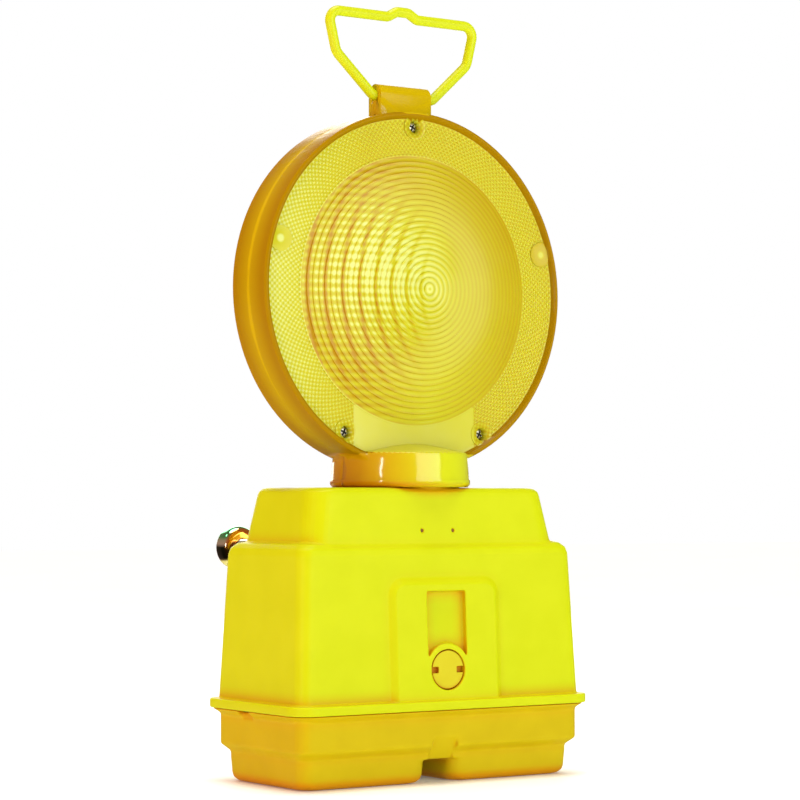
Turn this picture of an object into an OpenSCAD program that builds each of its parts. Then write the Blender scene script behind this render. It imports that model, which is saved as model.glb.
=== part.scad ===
// Barricade warning light: a two-battery case that lifts off its tray, a swivelling
// two-faced lens head on its neck, a folding wire handle and a mounting bolt at the back.
// X is across the lamp, Y runs from the front (-Y) to the back (+Y), and Z is up.
// The origin lies on the ground, under the middle of the case.

/* [Case] */
// Width of the cover where it meets its flange
cover_w = 175.6; // [174:0.2:178]
// Depth of the cover where it meets its flange
cover_d = 84; // [83:0.2:86]
// How much the cover's width narrows up to its shoulder
cover_draft = 6.5; // [4:0.5:10]
// Height of the cover's shoulder above the ground
shoulder_z = 122.5; // [119:0.5:124]
// Height of the flat top of the cover above the ground
roof_z = 150.2; // [148:0.2:150.2]
// Thickness of the moulded walls
wall = 2.5; // [2:0.1:2.6]

/* [Tray] */
// Width over the two battery wells
wells_w = 167; // [165:0.2:168]
// Depth over the battery wells
wells_d = 73.2; // [73:0.2:75]
// Height of the wells below the tray's step
wells_h = 15.5; // [15:0.5:17]
// Width of the gap between the two wells
gap_w = 15.4; // [14:0.2:16]

/* [Lens head] */
// Outer radius of the lens head
head_r = 93; // [91:0.5:93]
// Height of the middle of the lens above the ground
head_z = 252.6; // [250:0.2:256]
// Distance from the middle of the head to the front of its rim
rim_y = 16; // [15:0.5:18]
// Radius of the ringed dome in the middle of the lens
dome_r = 70; // [60:1:72]
// How far the dome's middle stands out from the reflex ring
dome_h = 13.7; // [8:0.1:16]
// Number of rings in the dome
rings = 24; // [12:1:30]

/* [Handle] */
// Diameter of the handle's wire
wire_d = 5.3; // [4:0.1:5.6]
// Half of the handle's width across its top
handle_half = 46.8; // [42:0.2:48]
// Height of the handle's top bar above its pivot
handle_rise = 42; // [40:0.1:48]

/* [Mounting bolt] */
// Diameter of the mounting bolt
bolt_d = 9.525; // [8:0.005:9.525]
// Height of the bolt above the ground
bolt_z = 117; // [116:0.5:118]
// Distance from the lamp's middle to the end of the bolt
bolt_end = 173; // [150:1:190]
// Distance from the lamp's middle to the cup washer's flat face
cup_y = 158; // [120:1:160]

/* [Hidden] */
$fn = 48;
eps = 0.01;      // overlap that keeps cuts from ending on a face
hull_fn = 32;    // corner steps inside hull()

// Cover: the drafted body, the narrower block on its shoulder and the flange
flange_top = 42.4;
flange_bottom = 37.6;
flange_out = 4.4;              // flange beyond the cover's wall
body_base = [cover_w, cover_d];
body_top = [cover_w - cover_draft, cover_d - 7.8];
block_base = [157.4, 72];
block_top = [146.6, 63];
block_foot = 116;               // where the block's walls start, below the shoulder
body_corner = 7;
block_corner = 12;
edge_round = 4;                // rounding of the roof
shoulder_round = 6.5;
panel_half = 30.7;             // flat face of the raised lock panel on the front wall
panel_top = 101;
panel_slope = 3.8;             // how far the panel's edges slope out to the wall
panel_corner = 5.5;
panel_rise = 2.6;              // how far the panel's face stands out from the wall
lock_y = -42.9;
pocket_half = 12;
pocket_top = 97.6;
pocket_depth = 3.4;
lock_z = 57.8;
lock_r = 9.8;
lock_boss_r = 13.4;
lock_boss_in = 11;
lock_stem_r = 5;
pin_x = 9.6;                   // two rivets low on the block's front
pin_z = 128.3;
neck_r = 30;
neck_bore = 24.4;
neck_top = 158.6;
neck_lip_r = 32.2;
neck_lip_z = 155.8;

// Tray: upper rim, slanted step and two wells
rim_base = [173.8, 82.4];
rim_corner = 7;
step_top = 19.2;
lip_top = 37.4;
lip_bottom = 34;               // the lip slopes out from here to its top
lip_out = 4.4;
spigot_top = 46;
spigot = [168.6, 77.2];
gap_h = 12;                    // height of the channel between the wells
scoop_z = 24;                  // where the channel's mouth meets the tray's front
scoop_d = 7;
tray_wall = 2.2;
well_round = 4.5;              // rounding of the wells' lower edges
foot_r = 4;                    // small round foot under the tray's middle

// Batteries: a pair of 6 V lantern cells
battery_side = 67;
battery_x = 45.85;
battery_bottom = 2.5;
battery_top = 101.5;
spring_top = 114.5;
terminal_offset = 20;          // corner terminal from the battery's middle

// Boards in the cover
board_t = 1.6;
contact_z = 115.1;
pcb_z = 131;
pillar_x = 56;
pillar_y = 20;
contact_screw_x = 77;
contact_screw_y = 20;

// Lock cam and the tray's catch
cam_y = -34;
cam_t = 1.6;
cam_reach = 11.5;
cam_half = 3;
catch_x = 5.5;
catch_w = 6.3;
catch_z = 61.3;

// Head
head_wall = 3;
ring_y = 13.5;                 // reflex ring's front face, from the parting plane
plate_t = 2.5;
ring_step = 0.7;               // depth of each step in the dome
boss_r = 6.6;
screw_circle = 85.5;
front_screw_angles = [90, 240, 300];
rear_screw_angles = [15.6, 164.4];
collar_bottom = 150.5;
collar_lip_top = 154.2;
collar_lip_r = 36.6;
collar_r = 35.2;
collar_shoulder = 168.5;
collar_in = 32.9;
ledge_top = 154.6;             // the collar's inner ledge, held under the neck's flange
shoulder_top = 173;
tunnel_z = 355.2;
tunnel_half = 15.9;
tunnel_r = 5.8;
pivot_clear = 0.08;
seal_end = -76;                // the rim seal stops this far below the middle of the head

// Lamp
mast_top = 236;
mast_screw_r = 27.2;
bulb_z = 252.6;
lead_x = 3;                    // the lamp's two leads
lead_y = 6.2;

// Bolt hardware
boss_face = 46;
bolt_boss_r = 11.5;
bolt_r = bolt_d / 2;
cup_r = 12;
cup_depth = 10;
nut_af = 14.29;
nut_h = 8.4;

// ---------- shared shapes ----------
module rounded_rect(size, r) {
    square([size[0] - 2 * r, size[1]], center = true);
    square([size[0], size[1] - 2 * r], center = true);
    for (x = [-1, 1], y = [-1, 1])
        translate([x * (size[0] / 2 - r), y * (size[1] / 2 - r)]) circle(r);
}

module slab(size, r, z0, z1) {
    translate([0, 0, z0]) linear_extrude(z1 - z0) rounded_rect(size, r);
}

// A box whose size runs from base at z0 to top at z1, with its top edge rounded by round_r
module drafted(base, top, r, z0, z1, round_r = 0) {
    full = z1 - round_r;
    hull() {
        slab(base, r, z0, z0 + eps, $fn = hull_fn);
        slab(top, r, full - eps, full, $fn = hull_fn);
        if (round_r > 0)
            for (a = [30, 60, 90]) {
                inset = 2 * round_r * (1 - cos(a));
                slab([top[0] - inset, top[1] - inset], r,
                    full + round_r * sin(a) - eps, full + round_r * sin(a), $fn = hull_fn);
            }
    }
}

// Cylinder along Y from y0 to y1
module y_rod(r, y0, y1) {
    translate([0, y1, 0]) rotate([90, 0, 0]) cylinder(r = r, h = y1 - y0);
}

// Cylinder along X from x0 to x1
module x_rod(r, x0, x1) {
    translate([x0, 0, 0]) rotate([0, 90, 0]) cylinder(r = r, h = x1 - x0);
}

module block(x0, x1, y0, y1, z0, z1) {
    translate([x0, y0, z0]) cube([x1 - x0, y1 - y0, z1 - z0]);
}

// A straight length of round wire between two points
module wire(p, q, r) {
    d = q - p;
    translate(p)
        rotate([0, acos(d[2] / norm(d)), atan2(d[1], d[0])])
            cylinder(r = r, h = norm(d));
}

module wire_path(points, r) {
    for (i = [1 : len(points) - 1]) wire(points[i - 1], points[i], r);
    for (i = [1 : len(points) - 2]) translate(points[i]) sphere(r * 1.05);
}

// A pan-head screw pointing along +Z, with its head's underside at z = 0
module screw(head_r, head_h, shank_r, length) {
    difference() {
        translate([0, 0, -head_h]) cylinder(r = head_r, h = head_h);
        for (a = [0, 90])
            rotate([0, 0, a])
                translate([-head_r * 0.6, -0.4, -head_h - eps]) cube([head_r * 1.2, 0.8, head_h * 0.5]);
    }
    cylinder(r = shank_r, h = length);
}

// ---------- tray ----------
module well_shapes(size, r, z0, z1, gap, round_r = 0) {
    half_w = (size[0] - gap) / 2;
    for (x = [-1, 1])
        translate([x * (gap / 2 + half_w / 2), 0, z0 + z1]) mirror([0, 0, 1])
            if (round_r > 0)
                drafted([half_w, size[1]], [half_w - 0.8, size[1] - 1.4], r, z0, z1, round_r);
            else
                slab([half_w, size[1]], r, z0, z1);
}

// The mouth of the channel, which rises to the tray's front and back
module scoop() {
    for (side = [0, 180])
        rotate([0, 0, side])
            translate([gap_w / 2, 0, 0]) rotate([90, 0, -90]) linear_extrude(gap_w)
                polygon([
                    [rim_base[1] / 2 + 1, -1], [rim_base[1] / 2 + 1, scoop_z + 1.5],
                    [rim_base[1] / 2 - scoop_d, gap_h], [rim_base[1] / 2 - scoop_d, -1]
                ]);
}

module battery_tray() {
    color("gold") difference() {
        union() {
            slab(rim_base, rim_corner, step_top, lip_top);
            drafted(rim_base, rim_base + [2 * lip_out, 2 * lip_out], rim_corner + lip_out, lip_bottom,
                lip_top);
            slab(spigot, rim_corner, lip_top, spigot_top);
            drafted([wells_w, wells_d], rim_base, rim_corner, wells_h, step_top);
            slab([wells_w, wells_d], rim_corner, gap_h, wells_h);
            well_shapes([wells_w, wells_d], rim_corner, 0, gap_h + 1, gap_w, well_round);
            cylinder_at(0, gap_h + 1, foot_r);
        }
        // upper room, narrowed where it passes the step
        slab(spigot - [2 * tray_wall, 2 * tray_wall], rim_corner - tray_wall,
            step_top + 1, spigot_top + 1);
        // the two wells
        well_shapes([wells_w - 2 * tray_wall, wells_d - 2 * tray_wall], rim_corner - tray_wall,
            tray_wall, spigot_top, gap_w + 2 * tray_wall);
        // the room over the channel
        block(-gap_w / 2 - tray_wall - 1, gap_w / 2 + tray_wall + 1,
            -rim_base[1] / 2 + scoop_d + 2, rim_base[1] / 2 - scoop_d - 2,
            gap_h + tray_wall, spigot_top);
        scoop();
        // pry gap under the cover's flange
        block(-100, -rim_base[0] / 2 + 0.3, 4, 14, lip_bottom - 1, lip_top + 1);
        // groove for the gasket
        difference() {
            slab(rim_base, rim_corner, lip_top - 0.7, lip_top + 1);
            slab(spigot, rim_corner, lip_top - 1, lip_top + 2);
        }
    }
}

module tray_gasket() {
    color("dimgray") difference() {
        slab(rim_base - [0.2, 0.2], rim_corner, lip_top - 0.7, flange_bottom - 0.02);
        slab(spigot + [0.2, 0.2], rim_corner, lip_top - 1, lip_top + 2);
    }
}

module battery(x) {
    translate([x, 0, 0]) slab([battery_side, battery_side], 6, battery_bottom, battery_top - 4);
}

module battery_left() { color("darkslateblue") battery(-battery_x); }

module battery_right() { color("darkslateblue") battery(battery_x); }

module battery_tops() {
    color("black")
        for (x = [-1, 1])
            translate([x * battery_x, 0, 0])
                slab([battery_side - 1, battery_side - 1], 6, battery_top - 4, battery_top);
}

// Where a battery's two spring terminals stand
terminals = [[0, 0], [terminal_offset, -terminal_offset]];

// A conical spring drawn as touching turns of wire, one turned solid on its contact disc
module terminal_spring() {
    turns = 11;
    r = 0.6;
    rise = (spring_top - battery_top - 2 * r) / turns;
    lean = 0.3;
    translate([0, 0, battery_top]) {
        cylinder(r = 6.4, h = 0.8);
        rotate_extrude()
            polygon([
                for (i = [0 : turns], a = [-60, -20, 20, 60])
                    [6 - i * lean + r * cos(a), r + i * rise + r * sin(a)],
                for (i = [turns : -1 : 0], a = [120, 160, 200, 240])
                    [6 - i * lean + r * cos(a), r + i * rise + r * sin(a)]
            ]);
    }
}

module cylinder_at(z0, z1, r) {
    translate([0, 0, z0]) cylinder(r = r, h = z1 - z0);
}

module battery_springs() {
    color("silver")
        for (x = [-1, 1], t = terminals)
            translate([x * (battery_x + t[0]), t[1], 0]) terminal_spring();
}

module catch_bracket() {
    floor_z = gap_h + tray_wall;
    color("silver") difference() {
        union() {
            block(catch_x, catch_x + catch_w, -31.5, -30, floor_z, catch_z + 2.2);
            block(catch_x, catch_x + catch_w, -34.2, -31.5, catch_z, catch_z + 2.2);
            block(-7, catch_x + catch_w - 2, -30, -16, floor_z, floor_z + 1.5);
        }
        for (x = [-3.5, 3.5]) translate([x, -22, 0]) cylinder_at(0, 40, 1.6);
    }
}

module catch_rivets() {
    floor_z = gap_h + tray_wall;
    color("gainsboro")
        for (x = [-3.5, 3.5]) translate([x, -22, 0]) {
            cylinder_at(floor_z, floor_z + 1.5, 1.5);
            cylinder_at(floor_z + 1.5, floor_z + 2.5, 3);
        }
}

// ---------- cover ----------
module cover_outside() {
    drafted(body_base, body_top, body_corner, flange_bottom, shoulder_z, shoulder_round);
    drafted(block_base, block_top, block_corner, block_foot, roof_z, edge_round);
    slab(body_base + [2 * flange_out, 2 * flange_out], body_corner + flange_out,
        flange_bottom, flange_top);
    raised_panel();
    // neck that the head turns on
    cylinder_at(roof_z - 1, neck_top, neck_r);
    cylinder_at(neck_lip_z, neck_top, neck_lip_r);
    translate([0, 0, bolt_z]) y_rod(bolt_boss_r, 28.5, boss_face);
}

// An arched outline with its lower edge at flange_bottom, one thin layer thick
module panel_layer(half, top, r) {
    block(-half, half, 0, 0.2, 0, top - flange_bottom - r);
    for (x = [-1, 1])
        translate([x * (half - r), 0, top - flange_bottom - r]) y_rod(r, 0, 0.2, $fn = hull_fn);
}

// Places its children on the front wall, whose face leans back
module on_front_wall() {
    lean = atan((body_base[1] - body_top[1]) / 2 / (shoulder_z - shoulder_round - flange_bottom));
    translate([0, -body_base[1] / 2, flange_bottom]) rotate([-lean, 0, 0]) children();
}

module raised_panel() {
    on_front_wall() hull() {
        translate([0, 0.1, 0])
            panel_layer(panel_half + panel_slope, panel_top + panel_slope, panel_corner + panel_slope);
        translate([0, -panel_rise, 0]) panel_layer(panel_half, panel_top, panel_corner);
    }
}

module cover_inside() {
    inset = [2 * wall, 2 * wall];
    drafted(body_base - inset, body_top - inset, body_corner - wall,
        flange_bottom - 1, shoulder_z - wall, shoulder_round - wall);
    drafted(block_base - inset, block_top - inset, block_corner - wall,
        block_foot + 0.5, roof_z - wall);
}

module case_cover() {
    color("yellow") difference() {
        union() {
            difference() {
                cover_outside();
                cover_inside();
            }
            // inside: pad behind the pocket, lock and bolt bosses, board pillars and seats
            on_front_wall() block(-15, 15, 1, 3.4, lock_z - flange_bottom, pocket_top + 2 - flange_bottom);
            translate([0, 0, lock_z]) y_rod(lock_boss_in, -41, -34.8);
            intersection() {
                translate([0, 0, bolt_z]) y_rod(bolt_boss_r, 28.5, 37);
                block(-20, 20, 0, 40, 100, 140);
            }
            for (x = [-1, 1], y = [-1, 1])
                translate([x * pillar_x, y * pillar_y, 0])
                    cylinder_at(pcb_z + board_t, roof_z - 1, 3.5);
            for (x = [-1, 1], y = [-1, 1])
                translate([x * contact_screw_x, y * contact_screw_y, 0])
                    cylinder_at(contact_z + board_t, shoulder_z - 1, 3.2);
        }
        cylinder_at(roof_z - wall - 1, neck_top + 1, neck_bore);
        pocket();
        translate([0, 0, lock_z]) {
            y_rod(lock_r + 0.5, lock_y - 3, lock_y + 3.2);
            y_rod(lock_stem_r + 0.06, lock_y - 1, -30);
        }
        for (x = [-pin_x, pin_x]) translate([x, 0, pin_z]) y_rod(0.95, -40, -20);
        // square hole and seal seat for the bolt
        block(-4.9, 4.9, 28, 36.5, bolt_z - 4.9, bolt_z + 4.9);
        translate([0, 0, bolt_z]) {
            y_rod(bolt_r + 0.15, 30, 50);
            y_rod(9.1, boss_face - 2, boss_face + 1);
        }
        for (x = [-1, 1], y = [-1, 1]) {
            translate([x * pillar_x, y * pillar_y, 0]) cylinder_at(pcb_z, pcb_z + 10, 1.35);
            translate([x * contact_screw_x, y * contact_screw_y, 0])
                cylinder_at(contact_z, contact_z + 3.8, 1.35);
        }
        // screw holes for the lamp mast's base
        for (a = [90, 210, 330])
            rotate([0, 0, a]) translate([mast_screw_r, 0, 0]) cylinder_at(neck_top - 7, neck_top + 1, 1.35);
    }
}

// The sunk window over the lock, cut short by the lock's round boss
module pocket() {
    difference() {
        on_front_wall()
            block(-pocket_half, pocket_half, -panel_rise - 1, pocket_depth - panel_rise,
                lock_z + 4 - flange_bottom, pocket_top - flange_bottom);
        translate([0, 0, lock_z]) y_rod(lock_boss_r, lock_y - 6, lock_y + 8);
    }
}

module contact_board() {
    color("peru") difference() {
        slab([160, 62], 3, contact_z, contact_z + board_t);
        block(-14, 14, 24, 40, 110, 120);
        for (x = [-1, 1], y = [-1, 1])
            translate([x * contact_screw_x, y * contact_screw_y, 0]) cylinder_at(110, 120, 1.6);
        for (x = [-30, 30], y = [-12, 12]) translate([x, y, 0]) cylinder_at(110, 120, 0.95);
    }
}

// Each strip covers one spring and runs to its lead
module contact_strips() {
    color("goldenrod")
        for (x = [-1, 1], t = terminals) {
            tx = x * (battery_x + t[0]);
            y = t[1] == 0 ? 12 : -12;
            difference() {
                union() {
                    translate([tx, t[1], 0]) cylinder_at(contact_z - 0.5, contact_z, 8);
                    block(min(tx, x * 26), max(tx, x * 26), min(y, t[1]) - 3, max(y, t[1]) + 3,
                        contact_z - 0.5, contact_z);
                }
                translate([x * 30, y, 0]) cylinder_at(100, 120, 0.95);
            }
        }
}

module contact_board_screws() {
    color("silver")
        for (x = [-1, 1], y = [-1, 1])
            translate([x * contact_screw_x, y * contact_screw_y, contact_z])
                screw(2.6, 1.6, 1.3, 3.6);
}

module circuit_board() {
    color("darkgreen") difference() {
        slab([124, 50], 3, pcb_z, pcb_z + board_t);
        for (x = [-1, 1], y = [-1, 1])
            translate([x * pillar_x, y * pillar_y, 0]) cylinder_at(120, 140, 1.6);
        for (x = [-30, 30], y = [-12, 12]) translate([x, y, 0]) cylinder_at(120, 140, 0.95);
        lead_holes(0.95);
    }
}

module circuit_board_screws() {
    color("silver")
        for (x = [-1, 1], y = [-1, 1])
            translate([x * pillar_x, y * pillar_y, pcb_z]) screw(2.6, 1.6, 1.3, 8);
}

module capacitors() {
    color("midnightblue")
        for (x = [-42, 42]) translate([x, -4, 0]) {
            cylinder_at(pcb_z + board_t, pcb_z + board_t + 11, 5);
            cylinder_at(pcb_z + board_t + 11, pcb_z + board_t + 11.6, 4.4);
        }
}

module flasher_chip() {
    color("black") block(12, 22, -13, -6.6, pcb_z - 3.4, pcb_z - 0.4);
    color("silver")
        for (i = [0 : 3], y = [-14.2, -5.9])
            translate([13.2 + i * 2.54, y, pcb_z - 2]) cube([0.5, 0.5, 2]);
    color("silver")
        for (i = [0 : 3], y = [[-14.2, -13], [-6.6, -5.4]])
            block(13.2 + i * 2.54, 13.7 + i * 2.54, y[0], y[1], pcb_z - 2, pcb_z - 1.5);
}

module power_transistor() {
    color("black") block(-26, -16, -16, -11.5, pcb_z - 10, pcb_z - 1);
    color("silver") for (i = [0 : 2]) block(-23.8 + i * 2.5, -23.2 + i * 2.5, -14, -13.4, pcb_z - 1, pcb_z);
}

module resistors() {
    color("tan")
        for (i = [0 : 4]) translate([36 + i * 4, 6, pcb_z - 1.3]) {
            y_rod(1.1, 0, 7);
            y_rod(0.3, -1.6, 8.6);
            for (y = [-1.6, 8.6]) translate([0, y, 0]) cylinder(r = 0.3, h = 1.3);
        }
}

module board_leads() {
    color("firebrick")
        for (x = [-30, 30], y = [-12, 12])
            translate([x, y, 0]) cylinder_at(contact_z - 0.5, pcb_z + board_t, 0.8);
}

module board_clip() {
    color("silver") difference() {
        union() {
            block(-14, 14, -30.9, -29.9, 124.5, pcb_z);
            block(-14, 14, -29.9, -20, pcb_z - 1, pcb_z);
        }
        for (x = [-pin_x, pin_x]) translate([x, 0, pin_z]) y_rod(0.95, -40, -25);
    }
}

module clip_rivets() {
    color("saddlebrown")
        for (x = [-pin_x, pin_x]) translate([x, 0, pin_z]) {
            y_rod(0.9, -33.8, -29.9);
            y_rod(1.5, -29.9, -29.2);
        }
}

module mode_switch() {
    color("black") difference() {
        block(-5, 5, -10, 10, contact_z - 6, contact_z);
        block(-2.1, 2.1, -5.7, 5.7, contact_z - 7, contact_z - 2);
    }
}

module mode_switch_slider() {
    color("white") block(-1.9, 1.9, -2.5, 2.5, contact_z - 9.5, contact_z - 2.2);
}

module lock_plug() {
    color("gold") translate([0, 0, lock_z]) difference() {
        union() {
            y_rod(lock_r, lock_y, lock_y + 3);
            y_rod(lock_stem_r, lock_y + 3, cam_y);
            y_rod(2.5, cam_y, cam_y + cam_t);
        }
        for (x = [-1, 1])
            translate([x * (lock_r - 1.8), 0, 0]) block(-2.4, 2.4, lock_y - 1, lock_y + 2.2, -1.6, 1.6);
        y_rod(1.25, cam_y - 8, cam_y + 3);
    }
}

module lock_cam() {
    color("silver") translate([0, 0, lock_z]) difference() {
        union() {
            y_rod(4.4, cam_y, cam_y + cam_t);
            block(-cam_half, cam_half, cam_y, cam_y + cam_t, -cam_reach, 0);
        }
        y_rod(2.5, cam_y - 1, cam_y + cam_t + 1);
    }
}

module lock_cam_screw() {
    color("gainsboro")
        translate([0, cam_y + cam_t, lock_z]) rotate([90, 0, 0]) screw(3.4, 1.4, 1.2, 7);
}

// ---------- mounting bolt ----------
module mount_bolt() {
    color("silver") translate([0, 0, bolt_z]) {
        y_rod(bolt_r, 33, bolt_end - 1.5);
        translate([0, bolt_end, 0]) rotate([90, 0, 0]) cylinder(r1 = bolt_r - 1, r2 = bolt_r, h = 1.5);
        block(-4.75, 4.75, 28.5, 33, -4.75, 4.75);
        // low domed head inside the case
        rotate([90, 0, 0])
            rotate_extrude()
                polygon([
                    [0, -28.5], [10.4, -28.5],
                    for (a = [0 : 15 : 90]) [10.4 * cos(a), -27.7 + 3.4 * sin(a)]
                ]);
    }
}

module bolt_seal() {
    color("dimgray") translate([0, 0, bolt_z]) difference() {
        y_rod(9, boss_face - 2, boss_face - 0.2);
        y_rod(bolt_r + 0.1, boss_face - 3, boss_face + 1);
    }
}

// A pressed steel cup: its flat end faces the case and its open end holds the nut
module cup_washer() {
    round_r = 4.5;
    t = 1.5;
    color("gainsboro") translate([0, cup_y, bolt_z]) rotate([-90, 0, 0])
        rotate_extrude()
            polygon([
                [bolt_r + 0.3, 0],
                for (a = [-90 : 15 : 0]) [cup_r - round_r + round_r * cos(a), round_r + round_r * sin(a)],
                [cup_r, cup_depth], [cup_r - t, cup_depth],
                for (a = [0 : -30 : -90])
                    [cup_r - round_r + (round_r - t) * cos(a), round_r + (round_r - t) * sin(a)],
                [bolt_r + 0.3, t]
            ]);
}

module bolt_nut() {
    color("silver") translate([0, cup_y + 1.55, bolt_z]) rotate([-90, 0, 0]) difference() {
        intersection() {
            cylinder(r = nut_af / 2 / cos(30), h = nut_h, $fn = 6);
            union() {
                cylinder(r1 = nut_af / 2, r2 = nut_af / 2 + 1.2, h = 1);
                translate([0, 0, 1]) cylinder(r = nut_af / 2 + 1.2, h = nut_h - 2);
                translate([0, 0, nut_h - 1]) cylinder(r1 = nut_af / 2 + 1.2, r2 = nut_af / 2, h = 1);
            }
        }
        translate([0, 0, -1]) cylinder(r = bolt_r + 0.07, h = nut_h + 2);
    }
}

// ---------- lamp on its mast ----------
// Holes for the lamp's two leads, through whatever lies between the circuit board and the mast
module lead_holes(r) {
    for (x = [-lead_x, lead_x]) translate([x, lead_y, 0]) cylinder_at(120, 170, r);
}

module swivel_seal() {
    color("dimgray") difference() {
        cylinder_at(ledge_top + 0.02, neck_lip_z - 0.05, neck_lip_r);
        cylinder_at(ledge_top - 1, neck_lip_z + 1, neck_r + 0.1);
    }
}

module mast_base() {
    color("white") difference() {
        cylinder_at(neck_top, neck_top + 2, neck_r);
        lead_holes(1.1);
        for (a = [90, 210, 330]) rotate([0, 0, a]) translate([mast_screw_r, 0, 0]) cylinder_at(150, 170, 1.6);
    }
}

module mast_screws() {
    color("silver")
        for (a = [90, 210, 330])
            rotate([0, 0, a]) translate([mast_screw_r, 0, neck_top + 2]) rotate([180, 0, 0]) screw(2.4, 1.4, 1.3, 8);
}

// An H-section post with a cap plate
module lamp_mast() {
    color("white") {
        for (x = [-7, 5]) block(x, x + 2, -4, 4, neck_top + 2, mast_top - 2);
        block(-5, 5, -1, 1, neck_top + 2, mast_top - 2);
        difference() {
            cylinder_at(neck_top + 2, neck_top + 3.5, 9.5);
            lead_holes(1.1);
        }
        cylinder_at(mast_top - 2, mast_top, 7.6);
    }
}

module lamp_socket() {
    color("black") difference() {
        union() {
            cylinder_at(mast_top, mast_top + 9, 6.2);
            cylinder_at(mast_top + 9, mast_top + 10.5, 7);
        }
        cylinder_at(mast_top + 2, mast_top + 11, 4.7);
    }
}

module bulb_base() {
    color("goldenrod") {
        cylinder_at(mast_top + 2.2, mast_top + 11, 4.6);
        cylinder_at(mast_top + 10.6, mast_top + 11.6, 6);
    }
}

module bulb_glass() {
    color("lightcyan") {
        translate([0, 0, bulb_z + 3]) sphere(5.6);
        cylinder_at(mast_top + 11.6, bulb_z + 2, 3.9);
    }
}

module photocell() {
    color("sienna") {
        translate([0, 0, 212]) y_rod(3.2, -4, -1);
        for (x = [-1.3, 1.3]) translate([x, -2.2, 0]) cylinder_at(202, 210, 0.35);
    }
}

module lamp_leads() {
    color("firebrick")
        for (x = [-lead_x, lead_x])
            wire_path([
                [x, lead_y, pcb_z], [x, lead_y, 228], [x, 8.6, 233], [x, 8.6, 240], [x * 0.6, 6.1, 243]
            ], 0.8);
}

// ---------- lens head ----------
// Height of the dome's smooth form above the ring's face at radius r
cap_r = (dome_r * dome_r + dome_h * dome_h) / (2 * dome_h);
function dome(r) = sqrt(cap_r * cap_r - r * r) - (cap_r - dome_h);

// Half of the shell as a turned profile: [radius, distance from the parting plane]
module shell_profile() {
    pitch = dome_r / rings;
    polygon([
        [head_r, 0], [head_r, rim_y - 1], [head_r - 1, rim_y], [head_r - head_wall + 0.6, rim_y],
        [head_r - head_wall, ring_y], [dome_r + 0.6, ring_y],
        for (i = [rings : -1 : 1]) each [
            [i * pitch, ring_y + dome(i * pitch)],
            [(i - 1) * pitch + 0.4, ring_y + dome((i - 1) * pitch) - (i > 1 ? ring_step : 0)]
        ],
        [0, ring_y + dome_h],
        for (i = [0 : 8]) [i * (dome_r - 1) / 8, ring_y - plate_t + dome(i * (dome_r - 1) / 8)],
        [head_r - head_wall, ring_y - plate_t], [head_r - head_wall, 0]
    ]);
}

// Everything outside of one half, before it is hollowed
module half_outside() {
    translate([0, 0, head_z]) rotate([90, 0, 0]) rotate_extrude() shell_profile();
    // collar with its lip and sloping shoulder
    rotate_extrude()
        polygon([
            [0, collar_bottom], [collar_lip_r - 1.2, collar_bottom], [collar_lip_r, collar_bottom + 1.6],
            [collar_lip_r, collar_lip_top], [collar_lip_r - 0.5, collar_lip_top + 0.3],
            [collar_r, collar_shoulder - 0.8], [collar_r - 0.8, collar_shoulder],
            [rim_y - 2, shoulder_top], [0, shoulder_top]
        ]);
    // tunnel for the handle
    translate([0, 0, tunnel_z]) x_rod(tunnel_r, -tunnel_half, tunnel_half);
    block(-tunnel_half, tunnel_half, -tunnel_r, tunnel_r, 342, tunnel_z);
    for (a = concat(front_screw_angles, rear_screw_angles))
        at_screw(a) y_rod(boss_r, -ring_y - 0.3, 0);
}

module at_screw(a) {
    translate([screw_circle * cos(a), 0, head_z + screw_circle * sin(a)]) children();
}

// The room inside the collar and up into the head
module collar_room() {
    cylinder_at(collar_bottom - 1, ledge_top + 1, neck_r + 0.5);
    cylinder_at(ledge_top, collar_shoulder - 1.6, collar_in);
    rotate_extrude()
        polygon([
            [0, collar_shoulder - 1.6 - eps], [collar_in, collar_shoulder - 1.6 - eps],
            [ring_y - plate_t, shoulder_top - 2], [ring_y - plate_t, shoulder_top + 8],
            [0, shoulder_top + 8]
        ]);
}

module seal_ring(grow) {
    outer = head_r - 0.9 + grow;
    translate([0, 0, head_z]) difference() {
        y_rod(outer, -0.8 - grow, 0.8 + grow);
        y_rod(head_r - 2 - grow, -2, 2);
        block(-outer, outer, -3, 3, -outer - 1, seal_end - grow);
    }
}

// One half of the head. screws_in are its own screws; screws_out end in its posts
module lens_half(screws_in, screws_out) {
    difference() {
        half_outside();
        block(-120, 120, 0, 60, 100, 400);
        collar_room();
        // bore for the handle's wire
        translate([0, 0, tunnel_z]) x_rod(wire_d / 2 + pivot_clear, -tunnel_half - 1, tunnel_half + 1);
        seal_ring(0.05);
        for (a = screws_in) at_screw(a) {
            y_rod(3.4, -30, -9.5);
            y_rod(2, -30, 1);
        }
        for (a = screws_out) at_screw(a) y_rod(1.65, -9, 1);
    }
}

module front_lens() {
    color("orange", 0.6) lens_half(front_screw_angles, rear_screw_angles);
}

module rear_lens() {
    color("orange", 0.6) rotate([0, 0, 180])
        lens_half([for (a = rear_screw_angles) 180 - a], [for (a = front_screw_angles) 180 - a]);
}

module lens_seal() { color("dimgray") seal_ring(0); }

module front_lens_screws() {
    color("silver")
        for (a = front_screw_angles) at_screw(a)
            translate([0, -9.5, 0]) rotate([-90, 0, 0]) screw(2.9, 2, 1.6, 17.5);
}

module rear_lens_screws() {
    color("silver")
        for (a = rear_screw_angles) at_screw(a)
            translate([0, 9.5, 0]) rotate([90, 0, 0]) screw(2.9, 2, 1.6, 17.5);
}

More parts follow.
